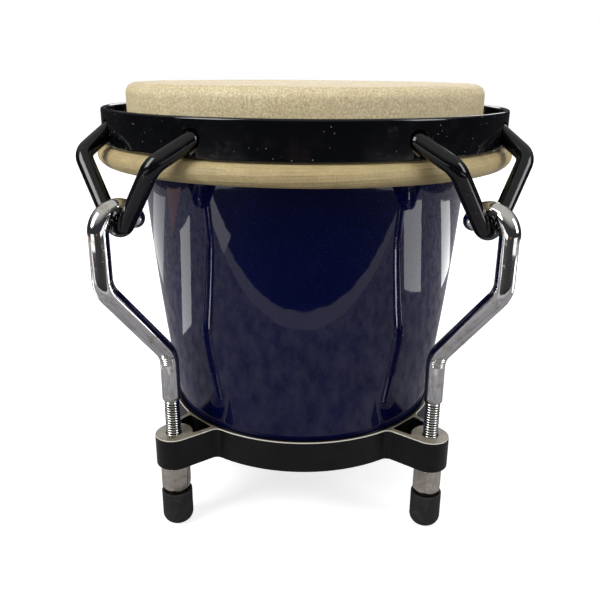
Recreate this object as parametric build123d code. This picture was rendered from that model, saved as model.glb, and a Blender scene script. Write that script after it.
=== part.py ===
"""Tunable hand drum: fibreglass shell, natural skin head and four tension lugs.

Millimetres, +Z up. The origin is on the drum's axis, at the level of the feet's undersides.
Heights of the drum's own parts are measured down or up from the crown's top edge.
Each lug's parts are drawn in the lug's own plane, with +X outwards, and then turned round the axis.
"""
from build123d import *
import os
from math import acos, atan2, cos, hypot, radians, sin

os.makedirs("parts", exist_ok=True)

# ---------------------------------------------------------------- driving dimensions
CROWN_TOP = 216.4            # height of the crown's top edge above the floor
LUG_AZIMUTH = {"front_left": -135, "front_right": -45, "rear_right": 45, "rear_left": 135}

# Shell: a convex taper, r = SHELL_R - SHELL_SLOPE * s - SHELL_BELLY * s^2
SHELL_R = 89.5
SHELL_SLOPE = 0.0319
SHELL_BELLY = 0.000317
SHELL_DATUM = 10.0           # the level that s is measured down from
SHELL_WALL = 4.5
SHELL_FOOT = -175.0          # underside of the shell
BEARING_EDGE = 9.8           # top of the shell
BEARING_R = 91.5             # the shell flares to this under the head
BEARING_ROUND = 4.5
BEARING_BEVEL = 4.0
FLARE_FOOT = -14.0           # the flare's lower and upper ends
FLARE_TOP = -3.0
FLARE_EASE = 4.0             # how far its curve follows the taper below and the straight side above
FLARE_LEAN = 0.3

# Head: skin lapped round a steel flesh hoop
HEAD_TOP = 12.0
SKIN = 2.0
COLLAR_R = 94.0
SHOULDER = 5.5
HOOP_R = 105.3               # ring radius of the flesh hoop
HOOP_LEVEL = -22.8
HOOP_ROD = 3.0
HOOP_FIT = 0.1               # clearance round the hoop
ROLL_ROD = 5.0               # the hoop with its lap of skin
SKIRT_TOP = -10.0            # where the collar starts to curve out to the roll
SKIRT_ANGLE = 45             # degrees below level at which the skirt runs into the roll
SKIRT_NEAR = 3.4             # its two faces end at these distances from the hoop's centre
SKIRT_FAR = 4.9
SKIRT_EASE = 6.0
SKIRT_EASE_INSIDE = 7.0
SKIRT_PULL = (99.5, -21.7)   # control points that bend its outer and inner faces outwards
SKIRT_PULL_INSIDE = (98.0, -22.6)

# Crown: the flat band that pulls the head down
CROWN_R = 107.0
CROWN_WALL = 3.0
CROWN_HEIGHT = 17.6
CROWN_EDGE = 1.1
BAIL_HOLE = 5.0              # radius of the holes for the bails
BAIL_DRILL = 20.0            # a drill that stays clear of the band's other side

# Tension hook, in the lug's plane
ROD = 4.75
ROD_REACH = 95.3             # from the drum's axis to the threaded end's axis
CROOK_REACH = 118.2          # to the middle of the crook
CROOK_R = 10.0
CROOK_LEVEL = -50.95
CROOK_END = 28.0             # degrees by which the crook stops short of a half turn
OUTER_BEND = -76.6
INNER_BEND = -118.0
BEND_R = 15.0
THREAD_TOP = -142.4
THREAD_END = -203.5
THREAD_R = 3.95              # 5/16 inch thread
THREAD_PITCH = 25.4 / 18
THREAD_DEPTH = 0.61 * THREAD_PITCH

# Bail: a V of rod between two holes in the crown
BAIL_ROD = 4.0
BAIL_HOLE_AT = (101.8, 33.0, -10.6)
BAIL_ELBOW = (117.1, 29.2, -19.2)
BAIL_ELBOW_R = 8.0
BAIL_V_R = 9.0
HOOK_SEAT_GAP = 0.15
BAIL_TAIL = 7.0              # rod inside the crown, past the hole
BAIL_HEAD_R = 6.4
BAIL_HEAD = 2.2
BAIL_HEAD_ROUND = 0.6
BAIL_HEAD_GAP = 0.5

# Bottom ring: a casting with four eyes
RING_TOP = -162.5
RING_FOOT = -180.0
RING_R = 77.6
RING_SHELL_GAP = 0.5
RING_LEDGE_R = 67.0
RING_EDGE = 0.8
GASKET = 1.5                 # thickness of the seal that the shell stands on
EYE_R = 9.7
EYE_BORE = 4.3
ARM = 2.8
ARM_ROOT = 9.5               # degrees from the lug's plane
ARM_SINK = 1.5               # how far the arms' roots lie inside the ring
ARM_FILLET = 4.0
WINDOW_CORNER = 1.0

# Tuning nut with its rubber foot
NUT_TOP = -180.1
NUT_HEX = 15.9
NUT_FLATS = 14.0
NUT_BORE = 4.0
NUT_FOOT_R = 5.9             # the flat ends inside the corners' easing
NUT_FOOT_EASE = 3.0
NUT_TOP_R = 6.6
NUT_TOP_EASE = 1.0
NUT_SPIGOT = 5.2
NUT_SPIGOT_END = -206.5
NUT_TURN = {"front_left": -16, "front_right": -1, "rear_right": 12, "rear_left": 22}
FOOT_R = 8.1
FOOT_TOP = -196.6
FOOT_LIP = 1.2
FOOT_CUP = 3.0
FOOT_ROUND = 5.6
FOOT_MOUTH_ROUND = 0.5
FOOT_BEVEL = 1.0

# Cutting tools
DRILL = 80.0                 # length of a drill, longer than any bore
PAST = 1.0                   # how far a cut runs past the face it starts from
TOUCH = 0.01                 # two places nearer than this are the same place


def level(z):
    """Height above the floor of a level given from the crown's top edge."""
    return CROWN_TOP + z


def shell_radius(z):
    """Outer radius of the shell's taper at a level."""
    below = SHELL_DATUM - z
    return SHELL_R - SHELL_SLOPE * below - SHELL_BELLY * below ** 2


def at(radius, z):
    """A point of a turned profile, in the X-Z plane."""
    return (radius, 0, level(z))


def quarter(centre, radius, start):
    """A convex quarter circle of a turned profile, from the angle start to start + 90 degrees."""
    swept = [radians(start + turn) for turn in (0, 45, 90)]
    return ThreePointArc(*(at(centre[0] + radius * cos(a), centre[1] + radius * sin(a)) for a in swept))


def turned(*edges):
    """A solid turned round the drum's axis from the edges of a closed profile."""
    return revolve(make_face(edges), Axis.Z)


def turned_outline(points, radius=None):
    """A solid turned from straight lines between points, with rounded corners where a radius is given."""
    corners = [at(*point) for point in points]
    if radius is None:
        return turned(Polyline(*corners, close=True))
    return turned(FilletPolyline(*corners, radius=radius, close=True))


def rod(path, radius):
    """Round bar along a path."""
    return sweep(Plane(path @ 0, z_dir=path % 0) * Circle(radius), path=path)


def in_lug(point):
    """A point of the lug's own frame: outwards, sideways, and the level from the crown's top."""
    return Vector(point[0], point[1], level(point[2]))


# ---------------------------------------------------------------- shell and its foot
def make_shell():
    """Tapering tube that flares at its rounded bearing edge and is bevelled inside it."""
    waist = (SHELL_FOOT + FLARE_FOOT) / 2
    foot_r = shell_radius(SHELL_FOOT)
    flare_r = shell_radius(FLARE_FOOT)
    edge_r = BEARING_R - BEARING_ROUND
    outside = ThreePointArc(at(foot_r, SHELL_FOOT), at(shell_radius(waist), waist), at(flare_r, FLARE_FOOT))
    flare = Bezier(
        at(flare_r, FLARE_FOOT), at(flare_r + FLARE_LEAN, FLARE_FOOT + FLARE_EASE),
        at(BEARING_R, FLARE_TOP - FLARE_EASE), at(BEARING_R, FLARE_TOP),
    )
    side = Line(at(BEARING_R, FLARE_TOP), at(BEARING_R, BEARING_EDGE - BEARING_ROUND))
    edge = quarter((edge_r, BEARING_EDGE - BEARING_ROUND), BEARING_ROUND, 0)
    inner_top = at(edge_r - BEARING_BEVEL, BEARING_EDGE - BEARING_BEVEL)
    inner_foot = at(foot_r - SHELL_WALL, SHELL_FOOT)
    slope = Line(at(edge_r, BEARING_EDGE), inner_top)
    inside = ThreePointArc(inner_top, at(shell_radius(waist) - SHELL_WALL, waist), inner_foot)
    base = Line(inner_foot, at(foot_r, SHELL_FOOT))
    return turned(outside, flare, side, edge, slope, inside, base)


def eye_plan():
    """Plan of one eye: two arms that run from the ring to a round boss, with a window between them."""
    boss = Pos(ROD_REACH, 0) * Circle(EYE_R)
    root_x = (RING_R - ARM_SINK) * cos(radians(ARM_ROOT))
    root_y = (RING_R - ARM_SINK) * sin(radians(ARM_ROOT))
    hull = make_hull(boss.edges() + [Line((root_x, root_y), (root_x, -root_y))])
    window = offset(hull, amount=-ARM) - Circle(RING_R) - boss
    window = fillet(window.vertices(), WINDOW_CORNER)
    return hull, window


def make_bottom_ring():
    """Casting: a ring with a ledge for the shell and four eyes for the tension hooks."""
    hull, window = eye_plan()
    plan = Circle(RING_R)
    for azimuth in LUG_AZIMUTH.values():
        plan += Rot(0, 0, azimuth) * hull
    roots = [v for v in plan.vertices() if abs(hypot(v.X, v.Y) - RING_R) < TOUCH]
    plan = fillet(roots, ARM_FILLET)
    for azimuth in LUG_AZIMUTH.values():
        plan -= Rot(0, 0, azimuth) * window
    ring = Pos(0, 0, level(RING_FOOT)) * extrude(plan, RING_TOP - RING_FOOT)
    rims = [e for face in (ring.faces().sort_by(Axis.Z)[0], ring.faces().sort_by(Axis.Z)[-1])
            for e in face.outer_wire().edges()]
    ring = fillet(rims, RING_EDGE)
    seat = SHELL_FOOT - GASKET
    mouth_r = shell_radius(RING_TOP) + RING_SHELL_GAP
    seat_r = shell_radius(SHELL_FOOT) + RING_SHELL_GAP
    ring -= turned_outline([
        (0, RING_FOOT - PAST), (RING_LEDGE_R, RING_FOOT - PAST), (RING_LEDGE_R, seat),
        (seat_r, seat), (mouth_r, RING_TOP), (mouth_r, RING_TOP + PAST), (0, RING_TOP + PAST),
    ])
    for azimuth in LUG_AZIMUTH.values():
        bore = Pos(ROD_REACH, 0, level(RING_FOOT)) * Cylinder(EYE_BORE, DRILL)
        ring -= Rot(0, 0, azimuth) * bore
    return ring


def make_gasket():
    """Flat seal between the shell's foot and the ring's ledge."""
    seat = SHELL_FOOT - GASKET
    outer = shell_radius(SHELL_FOOT)
    inner = outer - SHELL_WALL
    return turned_outline([(inner, seat), (outer, seat), (outer, SHELL_FOOT), (inner, SHELL_FOOT)])


# ---------------------------------------------------------------- head and crown
def make_head_skin():
    """Skin: a flat disc, a rounded shoulder and a straight collar."""
    inner_r = COLLAR_R - SKIN
    underside = HEAD_TOP - SKIN
    round_z = HEAD_TOP - SHOULDER
    return turned(
        Line(at(0, HEAD_TOP), at(COLLAR_R - SHOULDER, HEAD_TOP)),
        quarter((COLLAR_R - SHOULDER, round_z), SHOULDER, 0),
        Line(at(COLLAR_R, round_z), at(COLLAR_R, SKIRT_TOP)),
        Line(at(COLLAR_R, SKIRT_TOP), at(inner_r, SKIRT_TOP)),
        Line(at(inner_r, SKIRT_TOP), at(inner_r, round_z)),
        quarter((COLLAR_R - SHOULDER, round_z), SHOULDER - SKIN, 0),
        Line(at(COLLAR_R - SHOULDER, underside), at(0, underside)),
        Line(at(0, underside), at(0, HEAD_TOP)),
    )


def make_skin_roll():
    """The skin's skirt, which flares from the collar, and its lap round the flesh hoop."""
    inner_r = COLLAR_R - SKIN
    inwards = cos(radians(SKIRT_ANGLE))
    down = sin(radians(SKIRT_ANGLE))
    outer_top = at(COLLAR_R, SKIRT_TOP)
    inner_top = at(inner_r, SKIRT_TOP)
    outer_end = at(HOOP_R - SKIRT_NEAR * inwards, HOOP_LEVEL - SKIRT_NEAR * down)
    inner_end = at(HOOP_R - SKIRT_FAR * inwards, HOOP_LEVEL - SKIRT_FAR * down)
    skirt = turned(
        Bezier(outer_top, at(COLLAR_R, SKIRT_TOP - SKIRT_EASE), at(*SKIRT_PULL), outer_end),
        Line(outer_end, inner_end),
        Bezier(inner_end, at(*SKIRT_PULL_INSIDE), at(inner_r, SKIRT_TOP - SKIRT_EASE_INSIDE), inner_top),
        Line(inner_top, outer_top),
    )
    ring = Pos(0, 0, level(HOOP_LEVEL))
    return skirt + ring * Torus(HOOP_R, ROLL_ROD) - ring * Torus(HOOP_R, HOOP_ROD + HOOP_FIT)


def make_flesh_hoop():
    """Steel hoop inside the skin's roll."""
    return Pos(0, 0, level(HOOP_LEVEL)) * Torus(HOOP_R, HOOP_ROD)


def make_crown():
    """Flat band with eased edges and a pair of holes at each lug, bored along the bails' rods."""
    inner = CROWN_R - CROWN_WALL
    corners = [(inner, -CROWN_HEIGHT), (CROWN_R, -CROWN_HEIGHT), (CROWN_R, 0), (inner, 0)]
    crown = turned_outline(corners, CROWN_EDGE)
    for azimuth in LUG_AZIMUTH.values():
        for side in (1, -1):
            hole = in_lug((BAIL_HOLE_AT[0], side * BAIL_HOLE_AT[1], BAIL_HOLE_AT[2]))
            elbow = in_lug((BAIL_ELBOW[0], side * BAIL_ELBOW[1], BAIL_ELBOW[2]))
            bore = Plane(hole, z_dir=elbow - hole) * Cylinder(BAIL_HOLE, BAIL_DRILL)
            crown -= Rot(0, 0, azimuth) * bore
    return crown


def make_bail():
    """V of round bar: it leaves the crown, turns down at two elbows and meets in the hook's crook.

    A flattened head at each end lies behind the crown's wall.
    """
    crook_top = CROOK_LEVEL + CROOK_R
    v_centre = crook_top - ROD - HOOK_SEAT_GAP + BAIL_V_R - BAIL_ROD
    reach = hypot(BAIL_ELBOW[1], BAIL_ELBOW[2] - v_centre)
    slant = atan2(BAIL_ELBOW[2] - v_centre, BAIL_ELBOW[1]) - acos(BAIL_V_R / reach)
    corner = in_lug((CROOK_REACH, 0, v_centre - BAIL_V_R / sin(-slant)))
    hole = in_lug(BAIL_HOLE_AT)
    elbow = in_lug(BAIL_ELBOW)
    tail = hole + (hole - elbow).normalized() * BAIL_TAIL
    half = [tail, elbow]
    points = half + [corner] + [Vector(p.X, -p.Y, p.Z) for p in reversed(half)]
    path = FilletPolyline(*points, radius=[BAIL_ELBOW_R, BAIL_V_R, BAIL_ELBOW_R])
    bail = rod(path, BAIL_ROD)
    head = Cylinder(BAIL_HEAD_R, BAIL_HEAD, align=(Align.CENTER, Align.CENTER, Align.MAX))
    head = fillet(head.edges(), BAIL_HEAD_ROUND)
    for end in (path @ 0, path @ 1):
        outwards = Vector(end.X, end.Y, 0).normalized()
        on_wall = outwards * (CROWN_R - CROWN_WALL - BAIL_HEAD_GAP) + Vector(0, 0, end.Z)
        bail += Plane(on_wall, z_dir=outwards) * head
    return bail


# ---------------------------------------------------------------- tension hook, nut and foot
def make_thread():
    """Threaded end of the hook, its turns drawn as a stack of ridges."""
    outline = [(0, THREAD_TOP), (THREAD_R - THREAD_DEPTH, THREAD_TOP)]
    turns = int((THREAD_TOP - THREAD_END) / THREAD_PITCH)
    for turn in range(turns):
        ridge = THREAD_TOP - (turn + 0.5) * THREAD_PITCH
        outline.append((THREAD_R, ridge))
        outline.append((THREAD_R - THREAD_DEPTH, ridge - THREAD_PITCH / 2))
    outline.append((0, THREAD_TOP - turns * THREAD_PITCH))
    return Pos(ROD_REACH, 0, 0) * turned_outline(outline)


def make_hook():
    """Bent bar: threaded end, double bend outwards, straight shank and a crook over the bail."""
    outer = CROOK_REACH + CROOK_R
    foot = in_lug((ROD_REACH, 0, THREAD_TOP))
    low = in_lug((ROD_REACH, 0, INNER_BEND))
    high = in_lug((outer, 0, OUTER_BEND))
    shoulder = in_lug((outer, 0, CROOK_LEVEL))
    shank = FilletPolyline(foot, low, high, shoulder, radius=BEND_R)
    crook_angles = [radians(a) for a in (0, 90, 180 - CROOK_END)]
    crook = ThreePointArc(*(
        in_lug((CROOK_REACH + CROOK_R * cos(a), 0, CROOK_LEVEL + CROOK_R * sin(a))) for a in crook_angles
    ))
    hook = rod(shank, ROD) + rod(crook, ROD)
    hook += Pos(*(crook @ 1)) * Sphere(ROD)
    return hook + make_thread()


def make_nut(turn):
    """Long hexagon nut with eased corners, and a round spigot that the rubber foot is pushed on."""
    foot = NUT_TOP - NUT_HEX
    blank = extrude(RegularPolygon(NUT_FLATS / 2, 6, major_radius=False), NUT_HEX)
    blank = Pos(0, 0, level(foot)) * Rot(0, 0, turn) * blank
    corner_r = NUT_FLATS / 2 / cos(radians(30))
    eased = turned_outline([
        (0, foot), (NUT_FOOT_R, foot), (corner_r, foot + NUT_FOOT_EASE),
        (corner_r, NUT_TOP - NUT_TOP_EASE), (NUT_TOP_R, NUT_TOP), (0, NUT_TOP),
    ])
    spigot_length = foot - NUT_SPIGOT_END
    spigot = Pos(0, 0, level(NUT_SPIGOT_END) + spigot_length / 2) * Cylinder(NUT_SPIGOT, spigot_length)
    bore = Pos(0, 0, level(foot)) * Cylinder(NUT_BORE, DRILL)
    return Pos(ROD_REACH, 0, 0) * ((blank & eased) + spigot - bore)


def make_foot():
    """Rubber cup with a lip at its mouth and a rounded end."""
    lip_r = FOOT_R - FOOT_LIP
    cup_z = FOOT_TOP - FOOT_CUP
    body = Cylinder(FOOT_R, level(FOOT_TOP), align=(Align.CENTER, Align.CENTER, Align.MIN))
    body = fillet(body.edges().sort_by(Axis.Z)[0], FOOT_ROUND)
    body = fillet(body.edges().sort_by(Axis.Z)[-1], FOOT_MOUTH_ROUND)
    body -= turned_outline([
        (0, FOOT_TOP + PAST), (lip_r, FOOT_TOP + PAST), (lip_r, cup_z + FOOT_BEVEL), (NUT_SPIGOT, cup_z),
        (NUT_SPIGOT, NUT_SPIGOT_END), (0, NUT_SPIGOT_END),
    ])
    return Pos(ROD_REACH, 0, 0) * body


# ---------------------------------------------------------------- the assembly
parts = {
    "shell": make_shell(),
    "bottom_ring": make_bottom_ring(),
    "ring_gasket": make_gasket(),
    "head_skin": make_head_skin(),
    "skin_roll": make_skin_roll(),
    "flesh_hoop": make_flesh_hoop(),
    "crown": make_crown(),
}
bail = make_bail()
hook = make_hook()
foot = make_foot()
for lug, azimuth in LUG_AZIMUTH.items():
    place = Rot(0, 0, azimuth)
    parts[f"bail_{lug}"] = place * bail
    parts[f"tension_hook_{lug}"] = place * hook
    parts[f"tuning_nut_{lug}"] = place * make_nut(NUT_TURN[lug])
    parts[f"rubber_foot_{lug}"] = place * foot

for name, part in parts.items():
    export_step(part, f"parts/{name}.step")
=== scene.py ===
import math

import bmesh
import bpy
import numpy as np
from mathutils import Matrix


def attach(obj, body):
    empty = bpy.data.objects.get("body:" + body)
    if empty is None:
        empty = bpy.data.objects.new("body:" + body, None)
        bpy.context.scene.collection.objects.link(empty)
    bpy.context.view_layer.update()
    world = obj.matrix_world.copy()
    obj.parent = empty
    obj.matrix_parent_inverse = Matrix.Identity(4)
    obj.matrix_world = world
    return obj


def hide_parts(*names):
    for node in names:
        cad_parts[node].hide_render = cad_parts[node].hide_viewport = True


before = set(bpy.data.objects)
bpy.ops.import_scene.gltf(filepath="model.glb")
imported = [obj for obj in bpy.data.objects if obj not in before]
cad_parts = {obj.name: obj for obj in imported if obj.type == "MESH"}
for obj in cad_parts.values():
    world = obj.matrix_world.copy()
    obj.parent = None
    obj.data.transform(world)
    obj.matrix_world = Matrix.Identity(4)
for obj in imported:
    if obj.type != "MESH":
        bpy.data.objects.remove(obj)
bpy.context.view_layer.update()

# Small tunable hand drum. Lengths are in millimetres here and become metres in the mesh.
MM = 0.001
LUGS = {"front_left": -135, "front_right": -45, "rear_right": 45, "rear_left": 135}


# ---------------------------------------------------------------- shapes
def unit(vectors):
    """Vectors scaled to length one along the last axis."""
    return vectors / np.linalg.norm(vectors, axis=-1, keepdims=True)


def rounded_route(corners, radii, step=0.6):
    """Straight runs joined by arcs that touch both runs.

    At each corner the arc's centre lies on the bisector, radius / sin(half the angle) away, and the
    arc sweeps the supplement of the angle.
    """
    corners = np.array(corners, float)
    stretches = [corners[:1]]
    for before, corner, after, radius in zip(corners[:-2], corners[1:-1], corners[2:], radii):
        back = unit(before - corner)
        ahead = unit(after - corner)
        half = math.acos(np.clip(back @ ahead, -1, 1)) / 2
        centre = corner + unit(back + ahead) * radius / math.sin(half)
        start = corner + back * radius / math.tan(half)
        sweep = math.pi - 2 * half
        turn = np.linspace(0, sweep, max(5, int(radius * sweep / step)))[:, None]
        stretches.append(centre + radius * (np.cos(turn) * unit(start - centre) - np.sin(turn) * back))
    stretches.append(corners[-1:])
    return np.vstack(stretches)


def evenly(route, spacing):
    """The same route with points every spacing along it, and its own points kept."""
    run = np.concatenate([[0], np.cumsum(np.linalg.norm(np.diff(route, axis=0), axis=1))])
    marks = np.union1d(run, np.linspace(0, run[-1], int(run[-1] / spacing) + 2))
    return np.column_stack([np.interp(marks, run, column) for column in route.T])


def turned(profile, around=240):
    """Surface of revolution: each (radius, height) of the profile swept round the drum's axis."""
    angle = np.linspace(0, 2 * np.pi, around, endpoint=False)
    radius, height = profile[:, 0][:, None], profile[:, 1][:, None]
    return np.stack([radius * np.cos(angle), radius * np.sin(angle), height + 0 * angle], axis=-1)


def bar(route, radii, lean, around=40, heading=None):
    """Round bar: a circle of the given radius carried along a route, square to it.

    radii is one radius per point, or a grid of point by angle. The circle's zero angle is the lean
    direction, less its share along the route. A heading is given where the route stands still, as
    on a flat end.
    """
    radii = np.broadcast_to(np.asarray(radii, float).reshape(len(route), -1), (len(route), around))
    along = unit(np.gradient(route, axis=0)) if heading is None else np.broadcast_to(heading, route.shape)
    across = unit(lean - (along @ lean)[:, None] * along)
    third = np.cross(along, across)
    angle = np.linspace(0, 2 * np.pi, around, endpoint=False)[None, :, None]
    ring = np.cos(angle) * across[:, None] + np.sin(angle) * third[:, None]
    return route[:, None] + radii[..., None] * ring


def placed(grid, azimuth=0, reach=0):
    """A grid moved outwards by reach and turned round the drum's axis."""
    turn = math.radians(azimuth)
    cosine, sine = math.cos(turn), math.sin(turn)
    return (grid + [reach, 0, 0]) @ np.array([[cosine, sine, 0], [-sine, cosine, 0], [0, 0, 1]])


def piece(name, grids, body, stands_for, material, closed_profile):
    """One mesh from grids of rows by columns. Columns always wrap; rows wrap on a closed profile.

    Rows that shrink to a point are merged into a pole, and the faces are turned outwards. stands_for
    is the CAD node that it replaces, or two with a space between.
    """
    points, faces, first = [], [], 0
    for grid in grids:
        rows, columns = grid.shape[:2]
        index = first + np.arange(rows * columns).reshape(rows, columns)
        right = np.roll(index, -1, axis=1)
        upper = slice(None) if closed_profile else slice(0, -1)
        below = np.roll(index, -1, axis=0)[upper]
        below_right = np.roll(right, -1, axis=0)[upper]
        faces.append(np.stack([index[upper], right[upper], below_right, below], axis=-1).reshape(-1, 4))
        points.append(grid.reshape(-1, 3) * MM)
        first += rows * columns
    mesh = bpy.data.meshes.new(name)
    mesh.from_pydata(np.vstack(points).tolist(), [], np.vstack(faces).tolist())
    work = bmesh.new()
    work.from_mesh(mesh)
    bmesh.ops.remove_doubles(work, verts=work.verts, dist=2e-6)
    bmesh.ops.dissolve_degenerate(work, edges=work.edges, dist=1e-7)
    bmesh.ops.recalc_face_normals(work, faces=work.faces)
    work.to_mesh(mesh)
    work.free()
    mesh.polygons.foreach_set("use_smooth", np.ones(len(mesh.polygons), bool))
    made = bpy.data.objects.new(name, mesh)
    bpy.context.scene.collection.objects.link(made)
    made.data.materials.append(material)
    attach(made, body)
    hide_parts(*stands_for.split())
    return made


# ---------------------------------------------------------------- materials
def linear(code):
    """An sRGB hex colour as linear red, green, blue and full alpha."""
    channels = [int(code[i:i + 2], 16) / 255 for i in (1, 3, 5)]
    return [c / 12.92 if c <= 0.04045 else ((c + 0.055) / 1.055) ** 2.4 for c in channels] + [1]


def per(size):
    """Texture scale that gives features of a size in millimetres on Object coordinates."""
    return 1 / (size * MM)


def add(material, kind, inputs=None, stops=None, **settings):
    """Adds a shader node. An input is a value or another node's output; stops fill a colour ramp."""
    made = material.node_tree.nodes.new("ShaderNode" + kind)
    for name, value in settings.items():
        setattr(made, name, value)
    for name, value in (inputs or {}).items():
        if isinstance(value, bpy.types.NodeSocket):
            material.node_tree.links.new(value, made.inputs[name])
        else:
            made.inputs[name].default_value = value
    for i, (place, code) in enumerate(stops or []):
        elements = made.color_ramp.elements
        stop = elements[i] if i < len(elements) else elements.new(place)
        stop.position = place
        stop.color = linear(code)
    return made


def new_material(name):
    """An empty material with Object coordinates ready. Returns the material and the coordinates."""
    material = bpy.data.materials.new(name)
    material.use_nodes = True
    material.node_tree.nodes.clear()
    return material, add(material, "TexCoord").outputs["Object"]


def surface(material, **inputs):
    """Ends a material in a Principled surface. Keys are socket names with _ for each space."""
    sockets = {name.replace("_", " "): value for name, value in inputs.items()}
    shader = add(material, "BsdfPrincipled", sockets)
    add(material, "OutputMaterial", {"Surface": shader.outputs[0]})
    return material


def noise(material, where, size, detail=3.0, rough=0.55, **more):
    """The value of a noise whose lumps measure size millimetres."""
    inputs = {"Vector": where, "Scale": per(size), "Detail": detail, "Roughness": rough, **more}
    return add(material, "TexNoise", inputs).outputs["Fac"]


BLACK_WHITE = ("#000000", "#ffffff")


def ramp(material, value, low, high, colours=BLACK_WHITE):
    """A value spread between two colours from low to high."""
    stops = [(low, colours[0]), (high, colours[1])]
    return add(material, "ValToRGB", {"Fac": value}, stops=stops).outputs["Color"]


def share_of(material, value, low, high):
    """How far a value has come from low to high, as 0 to 1."""
    return add(material, "MapRange", {"Value": value, "From Min": low, "From Max": high}).outputs[0]


def between(material, share, low, high):
    """A number that goes from low to high with a share of 0 to 1."""
    return add(material, "MapRange", {"Value": share, "To Min": low, "To Max": high}).outputs[0]


def both(material, first, second):
    """Two masks multiplied, so that it is pale only where both are."""
    return blend(material, 1.0, first, second, "MULTIPLY")


def blend(material, share, first, second, mode="MIX"):
    """First colour with a share of the second."""
    made = add(material, "Mix", {0: share, 6: first, 7: second}, data_type="RGBA", blend_type=mode)
    return made.outputs[2]


def bump(material, height, depth, strength=1.0, under=None):
    """A bump of the given depth in millimetres, over another normal where there is one."""
    inputs = {"Height": height, "Distance": depth * MM, "Strength": strength}
    if under is not None:
        inputs["Normal"] = under
    return add(material, "Bump", inputs).outputs["Normal"]


def gel_coat():
    """Navy gel coat over metal-flake fibreglass, moulded and polished: a deep blue under clear gloss.

    The flakes are about 0.1 mm on the real shell; here they are 0.45 mm, so that they show.
    """
    material, where = new_material("navy_metal_flake_gel_coat")
    cells = add(material, "TexVoronoi", {"Vector": where, "Scale": per(0.45)})
    glint = ramp(material, cells.outputs["Color"], 0.78, 1.0)
    cloud = noise(material, where, 22, detail=4.0)
    blue = blend(material, cloud, linear("#020527"), linear("#040a37"))
    flaked = blend(material, glint, blue, linear("#141c4d"))
    tilt = add(material, "VectorMath", {0: cells.outputs["Color"], 1: (0.5, 0.5, 0.5)}, operation="SUBTRACT")
    tilt = add(material, "VectorMath", {0: tilt.outputs[0], "Scale": 0.35}, operation="SCALE")
    normal = add(material, "NewGeometry").outputs["Normal"]
    leaning = add(material, "VectorMath", {0: normal, 1: tilt.outputs[0]}, operation="ADD")
    leaning = add(material, "VectorMath", {0: leaning.outputs[0]}, operation="NORMALIZE").outputs[0]
    ripple = noise(material, where, 9, detail=1.0)
    dust = ramp(material, noise(material, where, 0.9, detail=2.0), 0.72, 0.80)
    coat = bump(material, ripple, 0.03)
    flaked = blend(material, dust, flaked, linear("#2b2f45"))
    return surface(
        material, Base_Color=flaked, Metallic=0.25, Roughness=0.36, Normal=leaning, Specular_IOR_Level=0.0,
        Coat_Weight=1.0, Coat_Roughness=0.035, Coat_IOR=1.52, Coat_Normal=coat,
    )


def raw_laminate():
    """Inside of the shell: chopped glass mat rolled out in dark resin, rough and shiny in patches."""
    material, where = new_material("chopped_mat_laminate")
    strands = add(material, "TexVoronoi", {"Vector": where, "Scale": per(7)}, feature="DISTANCE_TO_EDGE")
    web = ramp(material, strands.outputs["Distance"], 0.0, 0.12)
    cloud = noise(material, where, 5)
    resin = blend(material, cloud, linear("#14162a"), linear("#23263d"))
    colour = blend(material, web, linear("#3c3f52"), resin)
    rough = between(material, cloud, 0.35, 0.7)
    return surface(material, Base_Color=colour, Roughness=rough, Normal=bump(material, cloud, 0.6))


def rawhide():
    """Natural rawhide, dried and scraped: cream ground, tan cloud, fine pale and brown flecks, matt.

    The stretched head is paler than the lap round the hoop, and the pale flecks on its shoulder are a painted
    highlight.
    """
    material, where = new_material("natural_rawhide")
    height = add(material, "SeparateXYZ", {0: where}).outputs["Z"]
    stretched = ramp(material, share_of(material, height, 0.205, 0.215), 0.0, 1.0)
    shoulder = share_of(material, height, 0.2215, 0.2245)
    cloud = ramp(material, noise(material, where, 11, detail=5.0, rough=0.6), 0.3, 0.7)
    lap = blend(material, cloud, linear("#a8956a"), linear("#c3b07f"))
    taut = blend(material, cloud, linear("#d6c7a0"), linear("#eadcb7"))
    ground = blend(material, stretched, lap, taut)
    grain = noise(material, where, 0.9, detail=4.0, rough=0.75)
    ground = blend(material, ramp(material, grain, 0.30, 0.62), linear("#a08f68"), ground)
    # The shoulder band's pale flecks are a painted highlight where light catches its curve.
    shoulder_highlight = ramp(material, noise(material, where, 0.8, detail=3.0, rough=0.7), 0.56, 0.72)
    shoulder_highlight = both(material, shoulder_highlight, ramp(material, shoulder, 0.0, 1.0, ("#5a5a5a", "#e0e0e0")))
    ground = blend(material, shoulder_highlight, ground, linear("#f3e8b4"))
    fleck = add(material, "TexVoronoi", {"Vector": where, "Scale": per(1.7)}).outputs["Distance"]
    brown = ramp(material, fleck, 0.08, 0.20, ("#a0a0a0", "#000000"))
    brown = both(material, brown, ramp(material, noise(material, where, 5), 0.5, 0.62))
    ground = blend(material, brown, ground, linear("#86724e"))
    played = ramp(material, noise(material, where, 28, detail=2.0), 0.38, 0.58, ("#000000", "#808080"))
    on_top = ramp(material, share_of(material, height, 0.2272, 0.2282), 0.0, 1.0)
    ground = blend(material, both(material, played, on_top), ground, linear("#b58d74"))
    normal = bump(material, grain, 0.10)
    normal = bump(material, cloud, 0.20, 0.6, normal)
    return surface(
        material, Base_Color=ground, Roughness=0.6, Normal=normal, IOR=1.5,
        Subsurface_Weight=0.08, Subsurface_Radius=(0.004, 0.0025, 0.0015), Subsurface_Scale=0.5,
    )


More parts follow.
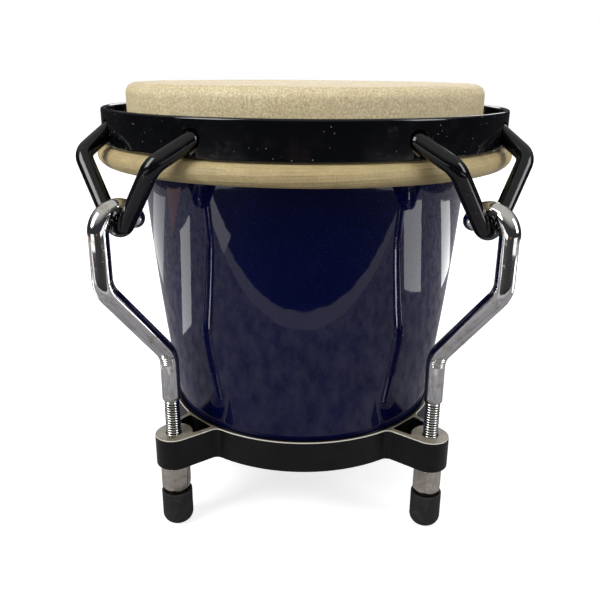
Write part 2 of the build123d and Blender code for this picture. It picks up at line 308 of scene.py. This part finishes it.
def gloss_black(name, peel):
    """Black gloss powder coat on steel: slight orange peel, dust specks and rubbed, greyer patches."""
    material, where = new_material(name)
    rubbed = ramp(material, noise(material, where, 7, detail=5.0, rough=0.7), 0.52, 0.75)
    specks = add(material, "TexVoronoi", {"Vector": where, "Scale": per(2.6)}).outputs["Distance"]
    specks = ramp(material, specks, 0.05, 0.13, ("#ffffff", "#000000"))
    specks = both(material, specks, ramp(material, noise(material, where, 13), 0.5, 0.62))
    black = blend(material, rubbed, linear("#050609"), linear("#0b0c10"))
    black = blend(material, specks, black, linear("#8f8f90"))
    rough = between(material, rubbed, 0.10, 0.26)
    coat = bump(material, noise(material, where, peel, detail=1.0), 0.02)
    return surface(material, Base_Color=black, Roughness=rough, Normal=coat, IOR=1.5)


def satin_casting():
    """Black satin enamel on a sand-cast ring: fine pebbled skin, a painted pale highlight on the rounded
    edges, and a painted tan reflection on the eyes' up-facing top faces, outside the ring's own 77 mm."""
    material, where = new_material("satin_black_enamel_on_casting")
    pebble = noise(material, where, 1.0, detail=2.0)
    patch = noise(material, where, 8, detail=5.0, rough=0.7)
    up = add(material, "SeparateXYZ", {0: add(material, "NewGeometry").outputs["Normal"]}).outputs["Z"]
    # Painted tan reflection on the up-facing tops of the eyes, in patches; the ring's own top inside 77 mm is
    # left black.
    painted_top_sheen = both(material, ramp(material, up, 0.75, 0.98), ramp(material, patch, 0.2, 0.5))
    # Painted pale highlight on the sloping rounded edges between the tops and the sides.
    below_flat = ramp(material, up, 0.80, 0.95, BLACK_WHITE[::-1])
    painted_edge_highlight = both(material, ramp(material, up, 0.25, 0.55), below_flat)
    flat = add(material, "VectorMath", {0: where, 1: (1, 1, 0)}, operation="MULTIPLY").outputs[0]
    reach = add(material, "VectorMath", {0: flat}, operation="LENGTH").outputs["Value"]
    painted_top_sheen = both(material, painted_top_sheen, ramp(material, share_of(material, reach, 0.0766, 0.0774), 0.0, 1.0))
    black = blend(material, ramp(material, patch, 0.4, 0.8), linear("#050506"), linear("#0c0c0e"))
    black = blend(material, painted_top_sheen, black, linear("#80786a"))
    black = blend(material, painted_edge_highlight, black, linear("#c4c0b4"))
    rough = between(material, patch, 0.20, 0.42)
    return surface(material, Base_Color=black, Roughness=rough, Normal=bump(material, pebble, 0.05), IOR=1.4)


def bright_chrome():
    """Bright chrome plate on bent bar: mirror-like, with small pits, faint brown rust bloom, and darker
    colour in the thread's grooves, which the mesh's groove attribute marks."""
    material, where = new_material("bright_chrome_plate")
    pits = add(material, "TexVoronoi", {"Vector": where, "Scale": per(1.8)}).outputs["Distance"]
    pits = ramp(material, pits, 0.10, 0.24, ("#ffffff", "#000000"))
    bloom = ramp(material, noise(material, where, 5, detail=4.0), 0.52, 0.72)
    pits = both(material, pits, bloom)
    colour = blend(material, bloom, linear("#e4e4e2"), linear("#c9c2b5"))
    colour = blend(material, pits, colour, linear("#4c3f31"))
    groove = add(material, "Attribute", attribute_name="groove").outputs["Fac"]
    # The thread's grooves are coloured darker, as deep as the groove attribute says.
    colour = blend(material, groove, colour, linear("#1c1a18"))
    rough = between(material, bloom, 0.045, 0.16)
    wave = bump(material, noise(material, where, 6, detail=1.0), 0.02)
    normal = bump(material, pits, 0.08, 1.0, wave)
    return surface(material, Base_Color=colour, Metallic=1.0, Roughness=rough, Normal=normal)


def dulled_plate():
    """Nickel plate on the nuts, dulled by handling: warm grey, smeared and pitted."""
    material, where = new_material("dulled_nickel_plate")
    smear = noise(material, where, 3.5, detail=5.0, rough=0.7)
    colour = blend(material, ramp(material, smear, 0.35, 0.7), linear("#e8e2d6"), linear("#c2b8a6"))
    rough = between(material, smear, 0.08, 0.30)
    normal = bump(material, smear, 0.012)
    return surface(material, Base_Color=colour, Metallic=1.0, Roughness=rough, Normal=normal)


def plain_steel():
    """Drawn steel of the hidden hoop: grey with length-wise haze."""
    material, where = new_material("drawn_steel")
    haze = noise(material, where, 2.0, detail=3.0)
    colour = blend(material, haze, linear("#8d8d90"), linear("#b4b4b6"))
    normal = bump(material, haze, 0.03)
    return surface(material, Base_Color=colour, Metallic=1.0, Roughness=0.38, Normal=normal)


def black_rubber(name):
    """Moulded rubber: matt, nearly black, with a fine sandy skin and pale dust."""
    material, where = new_material(name)
    sand = noise(material, where, 0.7, detail=2.0)
    dust = ramp(material, noise(material, where, 3.2, detail=5.0, rough=0.7), 0.5, 0.85)
    colour = blend(material, dust, linear("#121212"), linear("#35332f"))
    return surface(material, Base_Color=colour, Roughness=0.72, Normal=bump(material, sand, 0.06), IOR=1.5)


# ---------------------------------------------------------------- the drum's own sizes
# Radii are from the drum's axis and levels from the crown's top edge, upwards. A lug's parts are given
# in the lug's own plane, with x outwards.
TRUE_UP = np.array([0.0, 0.0, 1.0])
CROWN_TOP = 216.4             # height of the crown's top edge above the floor

SHELL_R = 89.5                # the taper's radius at its datum, its slope and its belly
SHELL_SLOPE = 0.0319
SHELL_BELLY = 0.000317
SHELL_DATUM = 10.0
SHELL_FOOT = -175.0
SHELL_WALL = 4.5
FLARE_FOOT = -14.0            # the shell flares from here up to its bearing edge
FLARE_RISE = 11.0
EDGE_R = 91.5                 # bearing edge: its radius, rounding and the rounding's centre level
EDGE_ROUND = 4.5
EDGE_LEVEL = 5.3
BEVEL_FOOT_R = 83.0
BEVEL_FOOT = 5.8

HEAD_TOP = 12.0
COLLAR_R = 94.0
SKIN = 2.0
SHOULDER = 5.5
HOOP_R = 105.3                # flesh hoop, and the roll of skin round it
HOOP_LEVEL = -22.8
ROLL_ROD = 5.0
ROLL_SWEEP = (197, -135)      # degrees from which and to which the roll shows
SKIRT_OUTSIDE = [(COLLAR_R, -19.5), (100.5, -24.2)]
SKIRT_INSIDE = [(101.8, -26.3), (96.0, -23.5), (COLLAR_R - SKIN, -15.0)]
SKIRT_BENDS = (4.5, 6.0, 12.0)
SKIN_WAVES = (3, 7, 13, 22)   # waves round the head
SKIN_SINK = 0.32              # the deepest that a wave sinks

ROD = 4.75                    # tension hook: radius of its bar
ROD_REACH = 95.3              # to the threaded end's axis
CROOK_REACH = 118.2
CROOK_R = 10.0
CROOK_LEVEL = -50.95
CROOK_TURN = 152              # degrees that the crook turns through
OUTER_BEND = -76.6
INNER_BEND = -118.0
BEND_R = 15.0
THREAD_R = 3.95
THREAD_PITCH = 25.4 / 18
THREAD_DEPTH = 0.86
THREAD_TOP = -142.4
THREAD_END = -203.5
THREAD_EASE = 1.5             # height over which the thread starts and its end is chamfered

BAIL_ROD = 4.0
BAIL_HOLE = (101.8, 33.0, -10.6)
BAIL_ELBOW = (117.1, 29.2, -19.2)
BAIL_ELBOW_R = 8.0
BAIL_V_R = 9.0
BAIL_V_LEVEL = -40.85         # centre of the V's rounding
BAIL_TAIL = 7.0
BAIL_LEAN = (0.55, 0.0, 0.83)
BAIL_HEAD_R = 6.4
BAIL_HEAD = 2.2
BAIL_HEAD_ROUND = 0.6
BAIL_HEAD_FACE = 103.5        # how far out the head's outer face lies

NUT_TOP = -180.1
NUT_FOOT = -196.0
NUT_FLATS = 14.0
NUT_CORNERS = 16.0
NUT_BORE = 4.0
SPIGOT_R = 5.2
SPIGOT_END = -206.5
FOOT_R = 8.1
FOOT_MOUTH = -196.6
FOOT_MOUTH_R = 6.9


def lift(profile):
    """A profile or route given from the crown's top edge, raised to heights above the floor."""
    raised = np.array(profile, float)
    raised[:, -1] += CROWN_TOP
    return raised


# ---------------------------------------------------------------- shell and head
def shell_radius(level):
    """The taper: its datum radius, less the slope times the drop and the belly times its square."""
    drop = SHELL_DATUM - level
    return SHELL_R - SHELL_SLOPE * drop - SHELL_BELLY * drop ** 2


def make_shell():
    """Convex taper, a flare, a rounded bearing edge, a bevel, and the wall's inner side.

    The flare goes out by 3 t squared less 2 t cubed of its rise t. The inner side is the parabola
    through the bevel's foot and two points that lie one wall inside the taper.
    """
    taper = np.linspace(SHELL_FOOT, FLARE_FOOT, 90)
    outside = np.column_stack([shell_radius(taper), taper])
    rise = np.linspace(0, 1, 14)[1:]
    ease = rise ** 2 * (3 - 2 * rise)
    flare_r = shell_radius(FLARE_FOOT)
    flare = np.column_stack([flare_r + (EDGE_R - flare_r) * ease, FLARE_FOOT + FLARE_RISE * rise])
    turn = np.linspace(0, np.pi / 2, 12)
    round_r = EDGE_R - EDGE_ROUND + EDGE_ROUND * np.cos(turn)
    edge = np.column_stack([round_r, EDGE_LEVEL + EDGE_ROUND * np.sin(turn)])
    wall_levels = np.array([(SHELL_FOOT + FLARE_FOOT) / 2, SHELL_FOOT])
    wall_radii = shell_radius(wall_levels) - SHELL_WALL
    inner = np.polyfit([BEVEL_FOOT, *wall_levels], [BEVEL_FOOT_R, *wall_radii], 2)
    drop = np.linspace(BEVEL_FOOT, SHELL_FOOT, 60)
    inside = np.column_stack([np.polyval(inner, drop), drop])
    grid = turned(lift(np.vstack([outside, flare, edge, inside])), 320)
    shell = piece("fibreglass_shell", [grid], "drum_body", "shell", gel_coat(), True)
    shell.data.materials.append(raw_laminate())
    centres = np.zeros(len(shell.data.polygons) * 3)
    normals = np.zeros(len(shell.data.polygons) * 3)
    shell.data.polygons.foreach_get("center", centres)
    shell.data.polygons.foreach_get("normal", normals)
    outward = (centres.reshape(-1, 3)[:, :2] * normals.reshape(-1, 3)[:, :2]).sum(1)
    shell.data.polygons.foreach_set("material_index", (outward < 0).astype(np.int32))


def make_head():
    """Disc, shoulder and collar, then once round the hoop's roll and back up the inside.

    The disc and the roll sink by a third of a millimetre at most, in the mean of a few sine waves
    that turn slowly along the profile, as a dried skin does.
    """
    outer_bend, skirt_bend, neck_bend = SKIRT_BENDS
    outside = rounded_route(
        [(0, HEAD_TOP), (COLLAR_R, HEAD_TOP), *SKIRT_OUTSIDE], [SHOULDER, outer_bend])
    turn = np.radians(np.linspace(*ROLL_SWEEP, 70))
    roll = np.column_stack([HOOP_R + ROLL_ROD * np.cos(turn), HOOP_LEVEL + ROLL_ROD * np.sin(turn)])
    inside = rounded_route(
        [*SKIRT_INSIDE, (COLLAR_R - SKIN, HEAD_TOP - SKIN), (0, HEAD_TOP - SKIN)],
        [skirt_bend, neck_bend, SHOULDER - SKIN])
    profile = lift(evenly(np.vstack([outside, roll[1:], inside[1:]]), 1.6))
    grid = turned(profile, 300)
    angle = np.arctan2(grid[..., 1], grid[..., 0])
    radius = np.hypot(grid[..., 0], grid[..., 1])
    row = np.arange(len(profile))[:, None]
    waves = sum(np.sin(k * angle + 0.11 * k * row + 1.7 * k) for k in SKIN_WAVES) / len(SKIN_WAVES)
    sink = SKIN_SINK * (0.5 + 0.5 * waves) * np.clip(radius / 60, 0, 1)
    hoop_height = CROWN_TOP + HOOP_LEVEL
    on_roll = np.hypot(radius - HOOP_R, grid[..., 2] - hoop_height) < ROLL_ROD + 0.2
    shrink = 1 - np.where(on_roll, sink / ROLL_ROD, 0)
    sunk_radius = np.where(on_roll, HOOP_R + (radius - HOOP_R) * shrink, radius)
    scale = np.divide(sunk_radius, radius, out=np.ones_like(radius), where=radius > 1e-6)
    grid[..., :2] *= scale[..., None]
    grid[..., 2] = np.where(on_roll, hoop_height + (grid[..., 2] - hoop_height) * shrink, grid[..., 2])
    on_disc = (grid[..., 2] > CROWN_TOP + HEAD_TOP - 1.2) & ~on_roll
    grid[..., 2] -= np.where(on_disc, sink, 0)
    piece("skin_head", [grid], "head", "head_skin skin_roll", rawhide(), False)


# ---------------------------------------------------------------- parts of a lug
def bail_grids():
    """The V of bar: tail, elbow, V, elbow, tail; and the flattened head at each tail's end.

    Each side of the V is the tangent from the elbow to the V's rounding.
    """
    hole, elbow = np.array(BAIL_HOLE), np.array(BAIL_ELBOW)
    tail = hole + BAIL_TAIL * unit(hole - elbow)
    reach = math.hypot(elbow[1], elbow[2] - BAIL_V_LEVEL)
    slant = math.acos(BAIL_V_R / reach) - math.atan2(elbow[2] - BAIL_V_LEVEL, elbow[1])
    corner = [CROOK_REACH, 0, BAIL_V_LEVEL - BAIL_V_R / math.sin(slant)]
    mirror = np.array([1, -1, 1])
    corners = [tail, elbow, corner, elbow * mirror, tail * mirror]
    route = evenly(rounded_route(corners, [BAIL_ELBOW_R, BAIL_V_R, BAIL_ELBOW_R], 0.4), 2.5)
    radii = np.full(len(route), BAIL_ROD)
    radii[[0, -1]] = 0.0
    grids = [bar(lift(route), radii, unit(np.array(BAIL_LEAN)))]
    rim = rounded_route(
        [(0, 0), (BAIL_HEAD_R, 0), (BAIL_HEAD_R, BAIL_HEAD), (0, BAIL_HEAD)], [BAIL_HEAD_ROUND] * 2, 0.15)
    for side in (1, -1):
        end = tail * [1, side, 1]
        outwards = unit(end * [1, 1, 0])
        face = outwards * BAIL_HEAD_FACE + TRUE_UP * end[2]
        spine = lift(face - rim[:, 1:] * outwards)
        grids.append(bar(spine, rim[:, 0], TRUE_UP, heading=-outwards))
    return grids


def hook_grid():
    """Bent bar from the crook's domed tip to the threaded end.

    The dome is a quarter circle of the bar's own radius. The thread is a true helix: its radius
    depends on height over pitch less angle over a full turn, and crests and roots are cut flat.
    """
    turn = np.radians(np.linspace(CROOK_TURN, 0, 60))
    crook = np.column_stack([
        CROOK_REACH + CROOK_R * np.cos(turn), 0 * turn, CROOK_LEVEL + CROOK_R * np.sin(turn)])
    ahead = unit(crook[0] - crook[1])
    dome = np.linspace(ROD, 0, 14)[:-1, None]
    outer = CROOK_REACH + CROOK_R
    shank = rounded_route([
        (outer, 0, CROOK_LEVEL), (outer, 0, OUTER_BEND), (ROD_REACH, 0, INNER_BEND),
        (ROD_REACH, 0, THREAD_TOP)], [BEND_R, BEND_R], 0.7)
    smooth = evenly(np.vstack([crook[0] + dome * ahead, crook, shank[1:]]), 1.6)
    from_tip = np.concatenate([[0], np.cumsum(np.linalg.norm(np.diff(smooth, axis=0), axis=1))])
    short_of_bar = np.clip(ROD - from_tip, 0, ROD)
    smooth_r = np.sqrt(np.maximum(ROD ** 2 - short_of_bar ** 2, 0))
    levels = np.arange(THREAD_TOP, THREAD_END, -THREAD_PITCH / 10)
    around = 48
    angle = np.linspace(0, 1, around, endpoint=False)[None, :]
    phase = (levels[:, None] / THREAD_PITCH - angle) % 1
    ridge = np.clip(1.25 * (1 - np.abs(2 * phase - 1)) - 0.1, 0, 1)
    run_out = np.clip((THREAD_TOP - 0.5 - levels) / THREAD_EASE, 0, 1)[:, None]
    chamfer = np.clip((levels - THREAD_END) / THREAD_EASE, 0, 1)[:, None]
    thread_r = np.minimum(THREAD_R - THREAD_DEPTH * (1 - ridge) * run_out, 3.0 + 1.2 * chamfer)
    screw = np.column_stack([0 * levels + ROD_REACH, 0 * levels, levels])
    route = np.vstack([smooth, screw[1:], [[ROD_REACH, 0, THREAD_END - 0.1]]])
    smooth_radii = np.repeat(smooth_r[:, None], around, axis=1)
    radii = np.vstack([smooth_radii, thread_r[1:], np.zeros((1, around))])
    return bar(lift(route), radii, np.array([0.0, 1.0, 0.0]), around)


def mark_grooves(made, azimuth):
    """Writes the thread's depth as a vertex attribute: 0 on smooth bar and crests, 1 in a groove."""
    turn = math.radians(azimuth)
    points = np.zeros(len(made.data.vertices) * 3)
    made.data.vertices.foreach_get("co", points)
    points = points.reshape(-1, 3) / MM
    off_x = points[:, 0] - ROD_REACH * math.cos(turn)
    off_y = points[:, 1] - ROD_REACH * math.sin(turn)
    threaded = points[:, 2] < CROWN_TOP + THREAD_TOP - 0.6
    depth = np.clip((THREAD_R - 0.17 - np.hypot(off_x, off_y)) / 0.6, 0, 1) * threaded
    made.data.attributes.new("groove", "FLOAT", "POINT").data.foreach_set("value", depth)


def nut_grid(turn):
    """A turned blank cut back to a hexagon, with its bore and its spigot.

    On each sixth of the round the radius is at most half the flats over the cosine of the angle from
    the flat's middle.
    """
    profile = np.array([
        (NUT_BORE, SPIGOT_END), (SPIGOT_R, SPIGOT_END), (SPIGOT_R, NUT_FOOT), (5.9, NUT_FOOT),
        (8.2, NUT_FOOT + 3.0), (8.2, NUT_TOP - 1.0), (6.6, NUT_TOP), (4.4, NUT_TOP),
        (NUT_BORE, NUT_TOP - 0.4),
    ])
    profile = evenly(np.vstack([profile, profile[:1]]), 0.35)[:-1]
    grid = turned(lift(profile), 180)
    angle = np.arctan2(grid[..., 1], grid[..., 0])
    from_flat = (angle - math.radians(turn)) % (np.pi / 3) - np.pi / 6
    hexagon = np.minimum(NUT_FLATS / 2 / np.cos(from_flat), NUT_CORNERS / 2)
    radius = np.hypot(grid[..., 0], grid[..., 1])
    grid[..., :2] *= (np.minimum(radius, hexagon) / radius)[..., None]
    return grid


def foot_grid():
    """Rubber cup: a rounded end, a straight wall, and a lip round its open mouth."""
    corners = [
        (0, -CROWN_TOP), (FOOT_R, -CROWN_TOP), (FOOT_R, FOOT_MOUTH), (FOOT_MOUTH_R, FOOT_MOUTH),
        (FOOT_MOUTH_R, -198.7), (5.22, -199.7), (5.22, SPIGOT_END), (0, SPIGOT_END),
    ]
    profile = evenly(rounded_route(corners, [5.6, 0.5, 0.4, 0.6, 0.3, 0.1], 0.25), 0.8)
    return turned(lift(profile), 96)


def weigh_normals(made):
    """Keeps large flats flat beside small rounded edges."""
    modifier = made.modifiers.new("flats", "WEIGHTED_NORMAL")
    modifier.weight = 80


# ---------------------------------------------------------------- the drum
NUT_TURNS = {"front_left": -16, "front_right": -1, "rear_right": 12, "rear_left": 22}

make_shell()
make_head()
crown_black = gloss_black("gloss_black_crown", 4.0)
bail_black = gloss_black("gloss_black_bail", 3.0)
chrome = bright_chrome()
plate = dulled_plate()
rubber = black_rubber("moulded_black_rubber")
for lug, azimuth in LUGS.items():
    piece(
        f"v_bail_{lug}", [placed(grid, azimuth) for grid in bail_grids()],
        f"bail_{lug}", f"bail_{lug}", bail_black, False,
    )
    hook = piece(
        f"chrome_hook_{lug}", [placed(hook_grid(), azimuth)],
        f"hook_{lug}", f"tension_hook_{lug}", chrome, False,
    )
    mark_grooves(hook, azimuth)
    nut = piece(
        f"hex_nut_{lug}", [placed(nut_grid(NUT_TURNS[lug]), azimuth, ROD_REACH)],
        f"nut_{lug}", f"tuning_nut_{lug}", plate, True,
    )
    weigh_normals(nut)
    piece(
        f"rubber_cup_{lug}", [placed(foot_grid(), azimuth, ROD_REACH)],
        f"nut_{lug}", f"rubber_foot_{lug}", rubber, False,
    )
for node, finish in (
    ("crown", crown_black), ("bottom_ring", satin_casting()), ("flesh_hoop", plain_steel()),
    ("ring_gasket", black_rubber("gasket_strip")),
):
    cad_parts[node].data.materials.clear()
    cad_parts[node].data.materials.append(finish)


# ---------------------------------------------------------------- floor, light and camera
def card(name, corners, level, material, to_camera=False):
    """A flat card on the floor with its corners in order. Only the eye sees the paper, and only the
    drum's light and reflections see the others."""
    mesh = bpy.data.meshes.new(name)
    mesh.from_pydata([(x, y, level) for x, y in corners], [], [tuple(range(len(corners)))])
    made = bpy.data.objects.new(name, mesh)
    bpy.context.scene.collection.objects.link(made)
    mesh.materials.append(material)
    made.visible_camera = to_camera
    made.visible_glossy = not to_camera
    made.visible_diffuse = not to_camera
    made.visible_shadow = False
    return made


def oblong(left, right, front, rear):
    """Corners of a rectangle."""
    return [(left, front), (right, front), (right, rear), (left, rear)]


def sector(start, end, inner, outer):
    """Corners of a piece of a flat ring between two azimuths in degrees."""
    turn = np.radians(np.linspace(start, end, 12))
    rim = [(outer * math.cos(a), outer * math.sin(a)) for a in turn]
    return rim + [(inner * math.cos(a), inner * math.sin(a)) for a in turn[::-1]]


def matt(name, colour, glow=0.0, mottle=None, size=30):
    """A matt stage material that glows by itself, mottled with a second colour where one is given."""
    material, where = new_material(name)
    shade = linear(colour)
    if mottle is not None:
        cloud = ramp(material, noise(material, where, size, detail=4.0, rough=0.65), 0.35, 0.65)
        shade = blend(material, cloud, linear(colour), linear(mottle))
    return surface(material, Base_Color=shade, Roughness=0.9, Emission_Color=shade, Emission_Strength=glow)


def softbox(name, place, aim, size, power, colour="#ffffff"):
    """A rectangular light at a place in metres, turned towards a point."""
    data = bpy.data.lights.new(name, "AREA")
    data.shape = "RECTANGLE"
    data.size, data.size_y = size
    data.energy = power
    data.color = linear(colour)[:3]
    made = bpy.data.objects.new(name, data)
    bpy.context.scene.collection.objects.link(made)
    forward = unit(np.array(aim, float) - np.array(place, float))
    side = unit(np.cross(forward, TRUE_UP))
    rise = np.cross(side, forward)
    made.matrix_world = Matrix([
        [side[0], rise[0], -forward[0], place[0]], [side[1], rise[1], -forward[1], place[1]],
        [side[2], rise[2], -forward[2], place[2]], [0, 0, 0, 1],
    ])
    return made


def make_world():
    """White to the eye, soft white for shading, and a grey ceiling over a dim room in reflections."""
    world = bpy.data.worlds.new("studio")
    bpy.context.scene.world = world
    world.use_nodes = True
    world.node_tree.nodes.clear()
    path = add(world, "LightPath")
    seen = add(world, "Background", {"Color": linear("#ffffff"), "Strength": 1.0})
    shade = add(world, "Background", {"Color": linear("#ffffff"), "Strength": 0.55})
    upwards = add(world, "SeparateXYZ", {0: add(world, "TexCoord").outputs["Generated"]}).outputs["Z"]
    ceiling = ramp(world, upwards, 0.25, 0.7, ("#34363c", "#c2c0bc"))
    room = add(world, "Background", {"Color": ceiling, "Strength": 1.0})
    lit = add(world, "MixShader", {0: path.outputs["Is Glossy Ray"], 1: shade.outputs[0], 2: room.outputs[0]})
    final = add(world, "MixShader", {0: path.outputs["Is Camera Ray"], 1: lit.outputs[0], 2: seen.outputs[0]})
    add(world, "OutputWorld", {"Surface": final.outputs[0]})


def make_stage():
    """White paper under the drum for the eye. Light and reflections see a mottled grey table instead,
    with a paler front edge, a dark room beyond it, and a few pale and brown things lying in the room."""
    card("paper", oblong(-12, 12, -12, 12), 0.0, matt("white_paper", "#d0d0d0", 1.05), True)
    card("room_floor", oblong(-6, 6, -6, 6), -0.003, matt("dark_floor", "#0e0e12"))
    card("table", oblong(-0.8, 0.8, -0.265, 0.8), -0.001, matt("grey_table", "#68666b", 0.0, "#a3a1a6"))
    card("table_edge", oblong(-0.8, 0.8, -0.30, -0.265), -0.001, matt("pale_edge", "#b4b1b4"))
    bright = matt("bright_board", "#ffffff", 1.45)
    pale = matt("pale_board", "#d0d0d0", 0.7)
    pink = matt("pink_board", "#9c8070", 0.7)
    brown = matt("brown_board", "#7d4f45", 0.5)
    dark = matt("dark_board", "#08080a")
    boards = (
        (bright, [(0.34, -0.10), (0.66, -0.27), (0.73, -0.08), (0.35, 0.01)]),
        (bright, [(0.30, 0.22), (0.74, 0.21), (0.70, 0.40), (0.28, 0.38)]),
        (pale, [(-0.28, 0.26), (-0.74, 0.25), (-0.70, 0.55), (-0.28, 0.50)]),
        (pink, [(-0.54, 0.12), (-0.82, -0.02), (-0.82, 0.23), (-0.54, 0.14)]),
        (bright, [(-0.24, 0.05), (-0.56, 0.03), (-0.62, -0.09), (-0.27, -0.01)]),
        (pale, [(-0.76, -0.27), (-0.36, -0.265), (-0.38, -0.34), (-0.72, -0.35)]),
        (pale, sector(-152, -120, 0.76, 1.5)),
        (pale, sector(-60, -28, 0.76, 1.5)),
        (brown, sector(-99, -88, 1.0, 1.6)),
        # A dark card beside the front left nut, seen only in reflections: painted shade in the nut's facets.
        (dark, oblong(-0.05, -0.012, -0.098, -0.055)),
    )
    for i, (finish, corners) in enumerate(boards):
        card(f"board_{i}", corners, -0.0005, finish)


def make_camera():
    """The eye: 382 mm before the drum's axis, a little above the crown, looking 18.8 degrees down."""
    data = bpy.data.cameras.new("eye")
    data.sensor_width = 36
    data.lens = 40.62
    data.clip_start = 0.01
    eye = bpy.data.objects.new("eye", data)
    bpy.context.scene.collection.objects.link(eye)
    tilt = Matrix.Rotation(math.radians(90 - 18.8), 4, "X")
    yaw = Matrix.Rotation(math.radians(0.28), 4, "Z")
    roll = Matrix.Rotation(math.radians(0.42), 4, "Z")
    eye.matrix_world = Matrix.Translation((0, -0.3818, 0.2348)) @ yaw @ tilt @ roll
    bpy.context.scene.camera = eye


make_world()
make_stage()
softbox("key_left", (-1.5, -1.0, 1.3), (0, 0, 0.12), (1.0, 1.4), 34)
softbox("fill_right", (1.6, -0.7, 0.9), (0, 0, 0.12), (0.7, 1.2), 16)
softbox("back", (0.2, 1.8, 1.0), (0, 0, 0.15), (1.8, 0.8), 14)
make_camera()
bpy.context.scene.view_settings.view_transform = "Standard"
